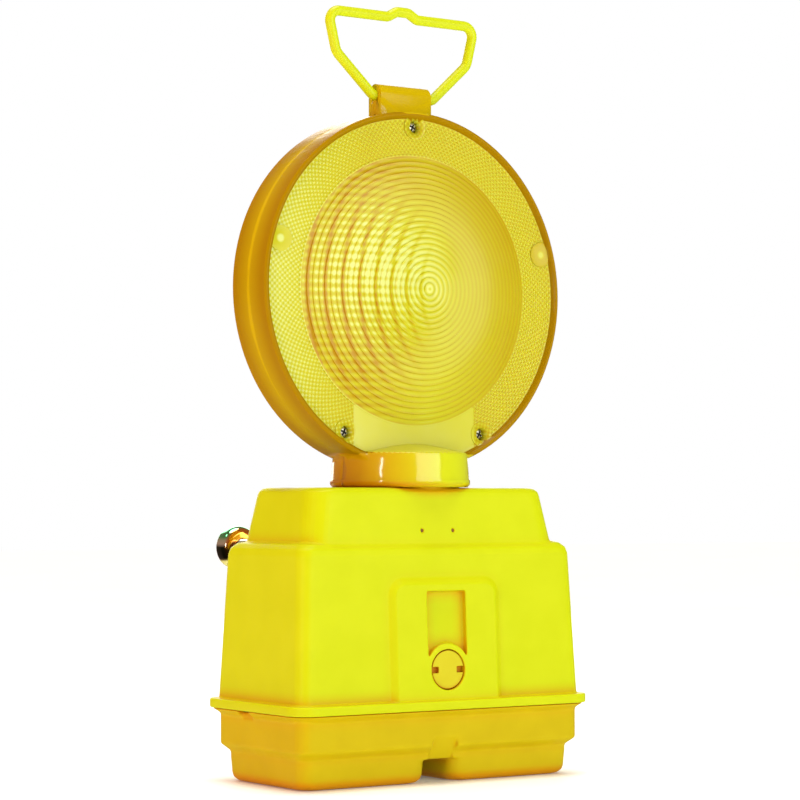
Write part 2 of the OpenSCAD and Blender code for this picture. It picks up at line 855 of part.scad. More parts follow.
// ---------- handle ----------
// Corners of half of the wire's centre line, from its end in the tunnel to the middle of the top bar
top_z = tunnel_z + handle_rise;
half_path = [
    [0, tunnel_z], [18.9, tunnel_z], [41.6, tunnel_z + 20.7], [handle_half, top_z], [9.2, top_z],
    [3.6, top_z + 3.1], [0, top_z + 3.1]
];
bend_radii = [0, 4, 8, 5.5, 4, 4, 0];
handle_shift = 1.4;            // the wire stands this far to the right in its tunnel
bend_overlap = 0.05;           // a straight stretch runs this far into each bend

function unit(v) = v / norm(v);
function turn(a, b, c) = acos(unit(b - a) * unit(c - b));
function trim(i) = i == 0 || i == len(half_path) - 1 ? 0
    : bend_radii[i] * tan(turn(half_path[i - 1], half_path[i], half_path[i + 1]) / 2);

// One straight stretch of the wire, between the bends at its two ends
module stretch(i) {
    p = half_path[i];
    q = half_path[i + 1];
    d = unit(q - p);
    a = p + d * (trim(i) - (trim(i) > 0 ? bend_overlap : 0));
    b = q - d * (trim(i + 1) - (trim(i + 1) > 0 ? bend_overlap : 0));
    wire([a[0], 0, a[1]], [b[0], 0, b[1]], wire_d / 2);
}

// The bend at one corner, as part of a ring
module bend(i) {
    p = half_path[i - 1];
    q = half_path[i];
    s = half_path[i + 1];
    u = unit(q - p);
    v = unit(s - q);
    side = sign(u[0] * v[1] - u[1] * v[0]);
    start = q - u * trim(i);
    centre = start + side * bend_radii[i] * [-u[1], u[0]];
    from = atan2(start[1] - centre[1], start[0] - centre[0]);
    sweep = turn(p, q, s);
    translate([centre[0], 0, centre[1]]) rotate([90, 0, 0])
        rotate([0, 0, side > 0 ? from : from - sweep])
            rotate_extrude(angle = sweep) translate([bend_radii[i], 0]) circle(wire_d / 2 + 0.02);
}

module half_handle() {
    for (i = [0 : len(half_path) - 2]) stretch(i);
    for (i = [1 : len(half_path) - 2]) bend(i);
}

module carry_handle() {
    color("yellow") translate([handle_shift, 0, 0]) {
        half_handle();
        mirror([1, 0, 0]) half_handle();
    }
}

battery_tray();
tray_gasket();
battery_left();
battery_right();
battery_tops();
battery_springs();
catch_bracket();
catch_rivets();
case_cover();
contact_board();
contact_strips();
contact_board_screws();
circuit_board();
circuit_board_screws();
capacitors();
flasher_chip();
power_transistor();
resistors();
board_leads();
board_clip();
clip_rivets();
mode_switch();
mode_switch_slider();
lock_plug();
lock_cam();
lock_cam_screw();
mount_bolt();
bolt_seal();
cup_washer();
bolt_nut();
swivel_seal();
mast_base();
mast_screws();
lamp_mast();
lamp_socket();
bulb_base();
bulb_glass();
photocell();
lamp_leads();
front_lens();
rear_lens();
lens_seal();
front_lens_screws();
rear_lens_screws();
carry_handle();
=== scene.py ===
import math

import bmesh
import bpy
import numpy as np
from mathutils import Matrix, Vector


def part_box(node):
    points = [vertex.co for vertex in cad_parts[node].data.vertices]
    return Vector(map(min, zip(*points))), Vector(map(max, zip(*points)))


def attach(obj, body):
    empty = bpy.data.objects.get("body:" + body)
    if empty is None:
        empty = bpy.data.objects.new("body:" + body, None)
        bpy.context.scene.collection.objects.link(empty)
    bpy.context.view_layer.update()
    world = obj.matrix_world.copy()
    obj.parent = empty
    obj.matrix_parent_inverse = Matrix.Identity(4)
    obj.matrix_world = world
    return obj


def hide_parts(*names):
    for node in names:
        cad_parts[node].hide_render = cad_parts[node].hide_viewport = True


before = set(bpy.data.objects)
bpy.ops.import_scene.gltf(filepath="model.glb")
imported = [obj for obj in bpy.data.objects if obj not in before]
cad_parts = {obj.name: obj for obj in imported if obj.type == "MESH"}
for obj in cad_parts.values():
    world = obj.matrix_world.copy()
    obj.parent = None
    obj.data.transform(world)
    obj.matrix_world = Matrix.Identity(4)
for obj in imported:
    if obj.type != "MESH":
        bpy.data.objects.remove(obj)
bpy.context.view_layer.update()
MM = 0.001

# ---------- sizes, in millimetres, read from the frame where it has them ----------
LENS_LOW, LENS_HIGH = (np.array(c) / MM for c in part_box("front_lens"))
BOLT_LOW, BOLT_HIGH = (np.array(c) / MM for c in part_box("mount_bolt"))
CUP_LOW, CUP_HIGH = (np.array(c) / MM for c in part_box("cup_washer"))
HANDLE_LOW, HANDLE_HIGH = (np.array(c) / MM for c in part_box("carry_handle"))

BOLT_Z = (CUP_LOW[2] + CUP_HIGH[2]) / 2
HEAD_R = LENS_HIGH[0]
COLLAR_FOOT = LENS_LOW[2]
SEAL_INSET = 0.9       # between the lens seal's edge and the head's rim
HEAD_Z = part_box("lens_seal")[1].z / MM - HEAD_R + SEAL_INSET
FACE_FROM_Z = 200      # everything on the front lens above this height is behind its dome's tip
DOME_TIP = -min(v.co.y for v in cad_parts["front_lens"].data.vertices
                if v.co.z > FACE_FROM_Z * MM) / MM
DOME_R = 70.0
DOME_H = 13.7
RINGS = 24
RING_PITCH = DOME_R / RINGS
RING_Y = DOME_TIP - DOME_H      # how far the flat of each face is from the parting plane
PLATE_T = 2.5
PLATE_R = 89.4
CELLS_FROM, CELLS_TO = DOME_R + 0.8, PLATE_R - 0.9
CELL_ROWS = 12
CELL_PITCH = (CELLS_TO - CELLS_FROM) / CELL_ROWS      # along the radius
RING_CELLS = 360                # reflex cells in each row round the face
RING_STEPS = 4 * RING_CELLS
SMOOTH_HALF, SMOOTH_BELOW = 38, -60      # the sector under the dome that has no cells
FLUTE_PITCH = 4.3
BOSS_R = 6.6
SCREW_CIRCLE = 85.5
FRONT_SCREW_ANGLES = (90, 240, 300)
REAR_SCREW_ANGLES = (15.6, 164.4)
GRAIN_DEPTH = 0.00003  # of the bump maps, in metres


# ---------- materials ----------
def new_material(name):
    mat = bpy.data.materials.new(name)
    mat.use_nodes = True
    tree = mat.node_tree
    shader = tree.nodes["Principled BSDF"]
    coords = tree.nodes.new("ShaderNodeTexCoord").outputs["Object"]
    return mat, tree, shader, coords


def noise(tree, coords, scale, detail=2.0):
    node = tree.nodes.new("ShaderNodeTexNoise")
    node.inputs["Scale"].default_value = scale
    node.inputs["Detail"].default_value = detail
    tree.links.new(coords, node.inputs["Vector"])
    return node.outputs["Fac"]


def ramp(tree, factor, low, high, start=0.35, end=0.65, middle=None, at=0.5):
    node = tree.nodes.new("ShaderNodeValToRGB")
    first, last = node.color_ramp.elements
    first.position, last.position = start, end
    first.color, last.color = (*low, 1), (*high, 1)
    if middle:
        node.color_ramp.elements.new(at).color = (*middle, 1)
    tree.links.new(factor, node.inputs["Fac"])
    return node.outputs["Color"]


def scaled(tree, value, start, end, low=0.0, high=1.0):
    """Goes from low to high while value goes from start to end, and stays between the two."""
    node = tree.nodes.new("ShaderNodeMapRange")
    for socket, number in (("From Min", start), ("From Max", end), ("To Min", low), ("To Max", high)):
        node.inputs[socket].default_value = number
    tree.links.new(value, node.inputs["Value"])
    return node.outputs["Result"]


def spread(tree, factor, low, high):
    """Stretches the middle of a noise to all of low to high."""
    return scaled(tree, factor, 0.3, 0.7, low, high)


def bump(tree, shader, height, strength, distance):
    node = tree.nodes.new("ShaderNodeBump")
    node.inputs["Strength"].default_value = strength
    node.inputs["Distance"].default_value = distance
    tree.links.new(height, node.inputs["Height"])
    tree.links.new(node.outputs["Normal"], shader.inputs["Normal"])


def finish_shader(tree, shader, coords, colour, rough, rough_scale, grain, grain_strength,
                  grain_depth=GRAIN_DEPTH):
    """Connects a colour, a roughness that drifts between the two of rough, and a fine grain."""
    tree.links.new(colour, shader.inputs["Base Color"])
    tree.links.new(spread(tree, noise(tree, coords, rough_scale), *rough), shader.inputs["Roughness"])
    bump(tree, shader, noise(tree, coords, grain), grain_strength, grain_depth)


def surface(name, low, high, rough, blotch=60, grain=1500, grain_depth=GRAIN_DEPTH,
            grain_strength=0.25, **sockets):
    """A material whose colour drifts between low and high, with a fine grain in its bump."""
    mat, tree, shader, coords = new_material(name)
    colour = ramp(tree, noise(tree, coords, blotch, 3), low, high)
    finish_shader(tree, shader, coords, colour, rough, blotch * 4, grain, grain_strength, grain_depth)
    for socket, value in sockets.items():
        shader.inputs[socket.replace("_", " ")].default_value = value
    return mat


def paint_recess_shade(mat, shade_colour, reach=0.007):
    """Tints the hollows with painted shade: an orange painted shade where ambient occlusion finds other
    surfaces close by.
    """
    tree = mat.node_tree
    shader = tree.nodes["Principled BSDF"]
    open_colour = shader.inputs["Base Color"].links[0].from_socket
    shade = tree.nodes.new("ShaderNodeAmbientOcclusion")
    shade.inputs["Distance"].default_value = reach
    shade.samples = 12
    mix = tree.nodes.new("ShaderNodeMixRGB")
    tree.links.new(scaled(tree, shade.outputs["AO"], 0.55, 0.97), mix.inputs["Fac"])
    mix.inputs["Color1"].default_value = (*shade_colour, 1)
    tree.links.new(open_colour, mix.inputs["Color2"])
    tree.links.new(mix.outputs["Color"], shader.inputs["Base Color"])
    return mat


def math_node(tree, operation, *values):
    """The output of a node that works on sockets and plain numbers."""
    node = tree.nodes.new("ShaderNodeMath")
    node.operation = operation
    for socket, value in zip(node.inputs, values):
        if isinstance(value, (int, float)):
            socket.default_value = value
        else:
            tree.links.new(value, socket)
    return node.outputs["Value"]


def times(tree, a, b):
    return math_node(tree, "MULTIPLY", a, b)


def times_plus(tree, a, b, c):
    return math_node(tree, "MULTIPLY_ADD", a, b, c)


def plus(tree, a, b):
    return math_node(tree, "ADD", a, b)


def minus(tree, a, b):
    return math_node(tree, "SUBTRACT", a, b)


def below(tree, a, b):
    return math_node(tree, "LESS_THAN", a, b)


def size_of(tree, a):
    return math_node(tree, "ABSOLUTE", a)


def separate(tree, coords):
    node = tree.nodes.new("ShaderNodeSeparateXYZ")
    tree.links.new(coords, node.inputs["Vector"])
    return node.outputs["X"], node.outputs["Y"], node.outputs["Z"]


def ripple(tree, value, pitch):
    """Swings between 0 and 1 over that pitch."""
    swing = math_node(tree, "COSINE", times(tree, value, 2 * math.pi / pitch))
    return times_plus(tree, swing, 0.5, 0.5)


def distance_from(tree, x, z, centre_x):
    side = minus(tree, x, centre_x)
    return math_node(tree, "SQRT", plus(tree, times(tree, side, side), times(tree, z, z)))


def collar_with_painted_light():
    """Amber with painted light and shade: orange at the left end of the collar as painted shade, yellow at
    the right where the lit yellow neck is painted as showing through, and painted shade at the foot and at
    the right end's edge.
    """
    mat, tree, shader, coords = new_material("amber_collar")
    x, _, z = separate(tree, coords)
    # painted light: orange in shade at the left, yellow where the lit neck shows through at the right
    place = scaled(tree, x, -0.040, 0.006)
    # painted shade at the foot and at the right end's edge
    foot = scaled(tree, z, (COLLAR_FOOT + 3.2) * MM, (COLLAR_FOOT + 1.2) * MM)
    ends = math_node(tree, "MAXIMUM", foot, scaled(tree, x, 0.027, 0.032))
    place = times_plus(tree, ends, -0.45, place)
    place = times_plus(tree, noise(tree, coords, 40, 3), 0.15, place)
    colour = ramp(tree, place, (0.62, 0.32, 0.001), (0.69, 0.78, 0.012), 0.1, 1.0)
    finish_shader(tree, shader, coords, colour, (0.08, 0.13), 160, 700, 0.06)
    shader.inputs["Transmission Weight"].default_value = 0.15
    return mat


def amber_wall():
    """Amber of the drum with painted light and shade: a painted highlight along the line where the halves
    meet, painted shade browner towards the rims and the bottom.
    """
    mat, tree, shader, coords = new_material("amber_wall")
    _, y, z = separate(tree, coords)
    # painted highlight at the parting line, painted shade towards the rims
    depth = scaled(tree, size_of(tree, y), 0.0, RING_Y * MM)
    painted_low_shade = scaled(tree, z, (HEAD_Z - 20) * MM, (HEAD_Z - 90) * MM, 0.0, 0.18)
    shade = plus(tree, times_plus(tree, noise(tree, coords, 40, 3), 0.2, depth), painted_low_shade)
    colour = ramp(tree, shade, (0.56, 0.43, 0.002), (0.34, 0.20, 0.0004), 0.14, 1.05,
                  (0.43, 0.31, 0.0008), 0.24)
    finish_shader(tree, shader, coords, colour, (0.16, 0.24), 160, 700, 0.08)
    shader.inputs["Specular IOR Level"].default_value = 0.06
    return mat


# The reflections painted into the chrome, from the foot of the cup washer, 0, to its top, 1
CHROME_BANDS = [
    (0.0, (0.9, 1.0, 0.35)),
    (0.19, (0.85, 0.9, 0.3)),
    (0.25, (0.015, 0.02, 0.012)),
    (0.52, (0.02, 0.03, 0.015)),
    (0.60, (1.0, 1.0, 0.9)),
    (0.68, (0.85, 1.0, 0.8)),
    (0.76, (0.20, 0.80, 0.36)),
    (1.0, (0.12, 0.55, 0.22)),
]


def chrome_plate():
    """Chrome with a room's reflections painted in: pale, black, pale and green upwards, orange in front."""
    mat, tree, shader, coords = new_material("chrome_plate")
    _, y, z = separate(tree, coords)
    height = minus(tree, scaled(tree, z, CUP_LOW[2] * MM, CUP_HIGH[2] * MM), 0.05)
    height = times_plus(tree, noise(tree, coords, 60, 3), 0.10, height)
    bands = tree.nodes.new("ShaderNodeValToRGB")
    for element, (place, colour) in zip(bands.color_ramp.elements, (CHROME_BANDS[0], CHROME_BANDS[-1])):
        element.position, element.color = place, (*colour, 1)
    for place, colour in CHROME_BANDS[1:-1]:
        bands.color_ramp.elements.new(place).color = (*colour, 1)
    tree.links.new(height, bands.inputs["Fac"])
    mix = tree.nodes.new("ShaderNodeMixRGB")
    # painted reflection of the yellow case on the face of the cup towards it
    facing = scaled(tree, y, (CUP_LOW[1] + 2.2) * MM, (CUP_LOW[1] + 0.8) * MM)
    painted_case_reflection = ramp(tree, height, (0.05, 0.03, 0.01), (0.95, 0.38, 0.06), 0.45, 0.65)
    tree.links.new(facing, mix.inputs["Fac"])
    tree.links.new(bands.outputs["Color"], mix.inputs["Color1"])
    tree.links.new(painted_case_reflection, mix.inputs["Color2"])
    finish_shader(tree, shader, coords, mix.outputs["Color"], (0.06, 0.12), 300, 1500, 0.05)
    tree.links.new(scaled(tree, height, 0.17, 0.23, 0.15, 1.0), shader.inputs["Metallic"])
    return mat


# Sizes in the look of the faces, in metres; the centres are measured from the axis of the dome
ARC_PITCH, ARC_CENTRE = 0.0088, 0.030
# the painted highlight on the dome: its centre and reach
HOT_X, HOT_Z, HOT_R = -0.032, 0.012, 0.050
# the rear screws' bosses are painted on the front face as a dark ring round a light centre
REAR_BOSS_ANGLE = math.radians(REAR_SCREW_ANGLES[0])
BOSS_X = SCREW_CIRCLE * math.cos(REAR_BOSS_ANGLE) * MM     # the rear screws' bosses, which show
BOSS_Z = SCREW_CIRCLE * math.sin(REAR_BOSS_ANGLE) * MM     # through the front face
# the colours of the painted highlight, the plain face and the painted shade
FACE_PAINTED_HIGHLIGHT, FACE_LIGHT, FACE_PAINTED_SHADE = (0.84, 0.95, 0.30), (0.68, 0.70, 0.020), (0.54, 0.31, 0.002)
LIGHT_AT = 0.3          # where the plain face colour lies between the painted highlight and the painted shade


def lens_face():
    """Clear yellow plastic with painted light and shade: painted shade between reflex cells and in the
    rings, the flutes and arcs behind painted as light and dark bars, and a painted highlight.
    """
    mat, tree, shader, coords = new_material("amber_face")
    x, y, height = separate(tree, coords)
    z = minus(tree, height, HEAD_Z * MM)
    r = distance_from(tree, x, z, 0.0)

    # the dome: painted shade in the rings, and at the left the flutes and arcs behind painted as bars;
    # painted shade to the right and above, with a painted highlight patch
    dome_part = below(tree, r, DOME_R * MM)
    rings = times(tree, ripple(tree, r, RING_PITCH * MM), 0.22)
    flutes = times(tree, ripple(tree, z, FLUTE_PITCH * MM), 0.38)
    arcs = math_node(tree, "POWER", ripple(tree, distance_from(tree, x, z, ARC_CENTRE), ARC_PITCH), 5)
    arcs = times(tree, arcs, scaled(tree, size_of(tree, z), 0.028, 0.055, 1.0, 0.15))
    left = scaled(tree, x, 0.004, -0.035)
    grid = times(tree, times_plus(tree, arcs, 0.65, flutes), left)
    right = scaled(tree, x, 0.01, 0.06, 0.0, 0.30)
    upper = scaled(tree, z, 0.005, 0.07, 0.0, 0.24)
    hot = scaled(tree, distance_from(tree, x, minus(tree, z, HOT_Z), HOT_X), HOT_R, 0.0, 0.0, 0.68)
    shade = plus(tree, plus(tree, rings, grid), plus(tree, right, upper))
    shade = times(tree, minus(tree, shade, hot), dome_part)

    # the ring outside it: painted shade between reflex cells, but none in the smooth sector and on the
    # bosses
    turn = times(tree, math_node(tree, "ARCTAN2", z, x), RING_CELLS / 2)
    row = times(tree, r, math.pi / (CELL_PITCH * MM))
    cells = times(tree, math_node(tree, "COSINE", turn), math_node(tree, "COSINE", row))
    cells = times_plus(tree, cells, 0.24, 0.20)
    smooth = times(tree, below(tree, size_of(tree, x), SMOOTH_HALF * MM),
                   below(tree, z, SMOOTH_BELOW * MM))
    ring_part = minus(tree, 1.0, math_node(tree, "MAXIMUM", dome_part, smooth))
    off_boss = distance_from(tree, size_of(tree, x), minus(tree, z, BOSS_Z), BOSS_X)
    on_boss = times(tree, below(tree, off_boss, BOSS_R * MM), below(tree, y, 0.0))
    boss = scaled(tree, off_boss, 0.0012, 0.0026, -0.05, 0.34)
    cells = times(tree, cells, times(tree, ring_part, minus(tree, 1.0, on_boss)))
    shade = plus(tree, shade, times_plus(tree, boss, on_boss, cells))
    shade = times_plus(tree, smooth, -0.02, shade)
    # painted highlight towards the left of the ring
    pale = times(tree, scaled(tree, x, -0.03, -0.085, 0.0, 0.30), minus(tree, 1.0, dome_part))
    shade = minus(tree, shade, pale)

    shade = times_plus(tree, noise(tree, coords, 30, 3), 0.12, shade)
    shade = plus(tree, shade, LIGHT_AT - 0.08)
    colour = ramp(tree, shade, FACE_PAINTED_HIGHLIGHT, FACE_PAINTED_SHADE, 0.0, 1.0, FACE_LIGHT, LIGHT_AT)
    finish_shader(tree, shader, coords, colour, (0.16, 0.24), 120, 900, 0.1)
    shader.inputs["Transmission Weight"].default_value = 0.2
    shader.inputs["Specular IOR Level"].default_value = 0.22
    return mat


# painted shade in the hollows of the case, the tray and the lock, in the last colour of each call
CASE = paint_recess_shade(surface("case_plastic", (0.545, 0.645, 0.001), (0.565, 0.665, 0.003), (0.36, 0.46),
                             Specular_IOR_Level=0.12), (0.62, 0.36, 0.001))
# the tray is darker and more orange than the cover: partly its own moulding, partly painted shade for the
# low part of the case, which gets less light
TRAY = paint_recess_shade(surface("tray_plastic", (0.55, 0.45, 0.001), (0.58, 0.48, 0.002), (0.38, 0.48),
                             Specular_IOR_Level=0.10), (0.62, 0.30, 0.001))
LOCK = paint_recess_shade(surface("lock_plastic", (0.58, 0.54, 0.012), (0.60, 0.57, 0.016), (0.36, 0.46),
                             Specular_IOR_Level=0.12), (0.50, 0.16, 0.002), 0.003)
HANDLE = surface("handle_plastic", (0.56, 0.67, 0.004), (0.58, 0.70, 0.006), (0.30, 0.38),
                 blotch=30, grain=300, grain_strength=0.03, Specular_IOR_Level=0.25)
AMBER = lens_face()
AMBER_WALL = amber_wall()
AMBER_TUNNEL = surface("amber_tunnel", (0.52, 0.39, 0.0005), (0.56, 0.42, 0.001), (0.16, 0.24),
                       blotch=40, grain=700, grain_strength=0.08, Specular_IOR_Level=0.12)
COLLAR = collar_with_painted_light()
CHROME = chrome_plate()
# painted shade for the screws' cross recesses, a near-black steel
SCREW_RECESS_SHADE = surface("painted_recess_shade", (0.012, 0.012, 0.010), (0.03, 0.03, 0.026), (0.5, 0.7), Metallic=0.6)
STEEL = surface("plated_steel", (0.50, 0.51, 0.52), (0.66, 0.66, 0.66), (0.22, 0.36),
                grain=1200, Metallic=1.0)
BRASS = surface("brass", (0.62, 0.42, 0.13), (0.75, 0.52, 0.2), (0.2, 0.34), Metallic=1.0)
BLACK = surface("black_plastic", (0.012, 0.012, 0.013), (0.022, 0.022, 0.024), (0.4, 0.55))
WHITE = surface("white_plastic", (0.72, 0.72, 0.70), (0.80, 0.80, 0.78), (0.38, 0.5))
RUBBER = surface("black_rubber", (0.010, 0.010, 0.010), (0.022, 0.021, 0.020), (0.65, 0.85),
                 grain=900, grain_depth=0.00008)
JACKET = surface("battery_jacket", (0.020, 0.045, 0.16), (0.03, 0.06, 0.21), (0.28, 0.42), blotch=20)
PHENOLIC = surface("brown_board", (0.26, 0.12, 0.035), (0.36, 0.17, 0.055), (0.35, 0.5), blotch=35)
GREEN = surface("green_board", (0.008, 0.10, 0.03), (0.015, 0.15, 0.05), (0.25, 0.4), blotch=50)
SLEEVE = surface("blue_sleeve", (0.01, 0.02, 0.09), (0.02, 0.035, 0.13), (0.3, 0.42))
CERAMIC = surface("tan_ceramic", (0.55, 0.38, 0.2), (0.66, 0.48, 0.27), (0.4, 0.55))
LEAD = surface("red_lead", (0.42, 0.02, 0.012), (0.52, 0.03, 0.02), (0.4, 0.5))
RIVET = surface("brown_rivet", (0.20, 0.09, 0.006), (0.26, 0.12, 0.01), (0.45, 0.6), grain=2500)
GLASS = surface("clear_glass", (0.93, 0.95, 0.95), (0.97, 0.98, 0.98), (0.01, 0.04),
                Transmission_Weight=1.0, IOR=1.48)
CELL = surface("cell_brown", (0.20, 0.08, 0.03), (0.30, 0.12, 0.04), (0.25, 0.4))

LOOKS = {
    CASE: ["case_cover"],
    TRAY: ["battery_tray"],
    LOCK: ["lock_plug"],
    STEEL: ["battery_springs", "catch_bracket", "catch_rivets", "contact_board_screws",
            "circuit_board_screws", "board_clip", "lock_cam", "lock_cam_screw", "bolt_nut",
            "mast_screws", "mount_bolt", "front_lens_screws", "rear_lens_screws"],
    CHROME: ["cup_washer"],
    BRASS: ["contact_strips", "bulb_base"],
    BLACK: ["battery_tops", "flasher_chip", "power_transistor", "mode_switch", "lamp_socket"],
    WHITE: ["mode_switch_slider", "mast_base", "lamp_mast"],
    RUBBER: ["tray_gasket", "bolt_seal", "swivel_seal", "lens_seal"],
    JACKET: ["battery_left", "battery_right"],
    PHENOLIC: ["contact_board"],
    GREEN: ["circuit_board"],
    SLEEVE: ["capacitors"],
    CERAMIC: ["resistors"],
    LEAD: ["board_leads", "lamp_leads"],
    RIVET: ["clip_rivets"],
    GLASS: ["bulb_glass"],
    CELL: ["photocell"],
    AMBER: ["front_lens", "rear_lens"],
    HANDLE: ["carry_handle"],
}
for look, names in LOOKS.items():
    for name in names:
        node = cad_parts[name]
        node.data.materials.clear()
        node.data.materials.append(look)


# ---------- mesh helpers ----------
def add_object(name, verts, faces, material, smooth_angle=40):
    """Links a mesh whose vertices are given in millimetres."""
    mesh = bpy.data.meshes.new(name)
    corners = [tuple(v) for v in np.asarray(verts) * MM]
    mesh.from_pydata(corners, [], [tuple(map(int, f)) for f in faces])
    obj = bpy.data.objects.new(name, mesh)
    bpy.context.scene.collection.objects.link(obj)
    return dress(obj, material, smooth_angle)


def dress(obj, material, smooth_angle=40):
    """Makes normals point out, smooths what isn't sharp and sets the material."""
    mesh = obj.data
    bm = bmesh.new()
    bm.from_mesh(mesh)
    bmesh.ops.remove_doubles(bm, verts=bm.verts, dist=1e-7)
    bmesh.ops.recalc_face_normals(bm, faces=bm.faces)
    bm.to_mesh(mesh)
    bm.free()
    mesh.materials.clear()
    mesh.materials.append(material)
    mesh.shade_smooth()
    if smooth_angle:
        mesh.set_sharp_from_angle(angle=math.radians(smooth_angle))
    return obj


def stands_for(obj, body, slot, *nodes):
    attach(obj, body)
    if nodes:
        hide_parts(*nodes)


def apply_modifiers(obj):
    evaluated = obj.evaluated_get(bpy.context.evaluated_depsgraph_get())
    mesh = bpy.data.meshes.new_from_object(evaluated)
    obj.modifiers.clear()
    obj.data = mesh


def copy_of(node, name):
    obj = bpy.data.objects.new(name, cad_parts[node].data.copy())
    bpy.context.scene.collection.objects.link(obj)
    return obj


def boolean(obj, cutter, operation="DIFFERENCE"):
    modifier = obj.modifiers.new("cut", "BOOLEAN")
    modifier.object, modifier.operation, modifier.solver = cutter, operation, "EXACT"
    modifier.material_mode = "TRANSFER"
    apply_modifiers(obj)
    bpy.data.objects.remove(cutter)
    return obj


def turned(profile, steps, origin):
    """Vertices and faces of a closed (radius, y) profile turned about Y."""
    profile = np.asarray(profile, float)
    angles = np.linspace(0, 2 * math.pi, steps, endpoint=False)
    r, y = profile[:, 0][:, None], np.repeat(profile[:, 1][:, None], steps, axis=1)
    verts = np.stack((r * np.cos(angles), y, r * np.sin(angles)), axis=-1).reshape(-1, 3)
    verts = verts + np.asarray(origin, float)
    n = len(profile)
    faces = []
    for i in range(n):
        k = (i + 1) % n
        for j in range(steps):
            m = (j + 1) % steps
            faces.append((i * steps + j, i * steps + m, k * steps + m, k * steps + j))
    return verts, faces


def closed_disc(profile, steps, origin):
    """A turned solid about Y whose ends are closed with caps."""
    verts, faces = turned(profile, steps, origin)
    n = len(profile)
    faces = faces[: (n - 1) * steps]
    faces.append(tuple(range(steps)))
    faces.append(tuple(range((n - 1) * steps, n * steps))[::-1])
    return verts, faces


def y_rod(name, radius, y0, y1, x, z, steps=64):
    """A plain cutter along Y."""
    return add_object(name, *closed_disc([(radius, y0), (radius, y1)], steps, (x, 0, z)), CASE)


def box_object(size, centre, turn):
    """A box turned about Y, in the painted recess shade until it is dressed."""
    half = np.array(size) / 2
    signs = np.array([(a, b, c) for a in (-1, 1) for b in (-1, 1) for c in (-1, 1)])
    spin = np.array(Matrix.Rotation(math.radians(turn), 3, "Y"))
    verts = (signs * half) @ spin.T + np.array(centre)
    faces = [(0, 1, 3, 2), (4, 6, 7, 5), (0, 4, 5, 1), (2, 3, 7, 6), (0, 2, 6, 4), (1, 5, 7, 3)]
    return add_object("cutter", verts, faces, SCREW_RECESS_SHADE)


def softened(node, name, voxel, rounds, keep, material):
    """A copy of a CAD node with a moulding's rounded edges: remeshed finely, smoothed and thinned out."""
    obj = copy_of(node, name)
    dress(obj, material, 0)
    remesh = obj.modifiers.new("remesh", "REMESH")
    remesh.mode, remesh.voxel_size = "VOXEL", voxel * MM
    smooth = obj.modifiers.new("smooth", "SMOOTH")
    smooth.factor, smooth.iterations = 0.5, rounds
    thin = obj.modifiers.new("thin", "DECIMATE")
    thin.ratio = keep
    apply_modifiers(obj)
    return dress(obj, material, 0)


# ---------- case: cover, tray and lock ----------
stands_for(softened("case_cover", "cover_shell", voxel=0.5, rounds=7, keep=0.3, material=CASE),
           "cover", "case_yellow", "case_cover")
stands_for(softened("battery_tray", "tray_shell", voxel=0.7, rounds=5, keep=0.3, material=TRAY),
           "tray", "case_yellow", "battery_tray")
stands_for(softened("lock_plug", "lock_face", voxel=0.25, rounds=3, keep=0.5, material=LOCK),
           "lock", "case_yellow", "lock_plug")

RIVET_R, RIVET_DOME = 0.9, 0.35
RIVET_HEAD_R, RIVET_HEAD_T, RIVET_HEAD_ROUND = 1.5, 0.7, (0.3, 0.2)


def rivet_pins():
    """The two rivets of the board clip, whose ends show in the front of the cover's upper block."""
    low, high = (np.array(c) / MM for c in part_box("clip_rivets"))
    arc = np.radians(np.linspace(80, 0, 6))
    end = [(RIVET_R * math.cos(a), RIVET_DOME * (1 - math.sin(a))) for a in arc]
    depth = high[1] - low[1]
    under = depth - RIVET_HEAD_T
    across, along = RIVET_HEAD_ROUND
    profile = [*end, (RIVET_R, under), (RIVET_HEAD_R, under), (RIVET_HEAD_R, depth - along),
               (RIVET_HEAD_R - across, depth)]
    pins = [add_object("rivets", *closed_disc(profile, 24, (x, low[1], (low[2] + high[2]) / 2)), RIVET)
            for x in (low[0] + RIVET_HEAD_R, high[0] - RIVET_HEAD_R)]
    return boolean(pins[0], pins[1], "UNION")


stands_for(rivet_pins(), "cover", "brown_rivet", "clip_rivets")


# ---------- lens head ----------
CELL_DEPTH = 0.3
CELL_MARGINS = 0.15, 0.2      # from the flats inside and outside to the first and last loop of cells
SMOOTH_INSET = 0.1            # of the smooth sector, from the flats
RING_STEP, RING_SLOPE = 0.7, 0.35      # how far each ring drops at its inner edge, and over what width
RING_SHARES = (0.35, 0.65, 0.9)        # where across a ring its loops lie
FLUTE_DEPTH = 0.45
FLUTE_RADII = np.arange(DOME_R, 0.8, -0.9)
FACE_BACK = -RING_Y + PLATE_T      # the Y of the back of the front half's flat
HALF_STEPS = RING_STEPS // 2
CAP_R = (DOME_R**2 + DOME_H**2) / (2 * DOME_H)


def dome(r):
    return np.sqrt(CAP_R**2 - np.asarray(r, float) ** 2) - (CAP_R - DOME_H)


def stitch(faces, a, b, na, nb):
    """Joins the ring of na vertices from index a to the ring of nb from b; nb is na or twice that."""
    for i in range(na):
        k = (i + 1) % na
        if nb == na:
            faces.append((a + i, a + k, b + k, b + i))
        else:
            p, q, s = b + 2 * i, b + 2 * i + 1, b + (2 * i + 2) % nb
            faces.extend([(a + i, q, p), (a + i, a + k, q), (a + k, s, q)])


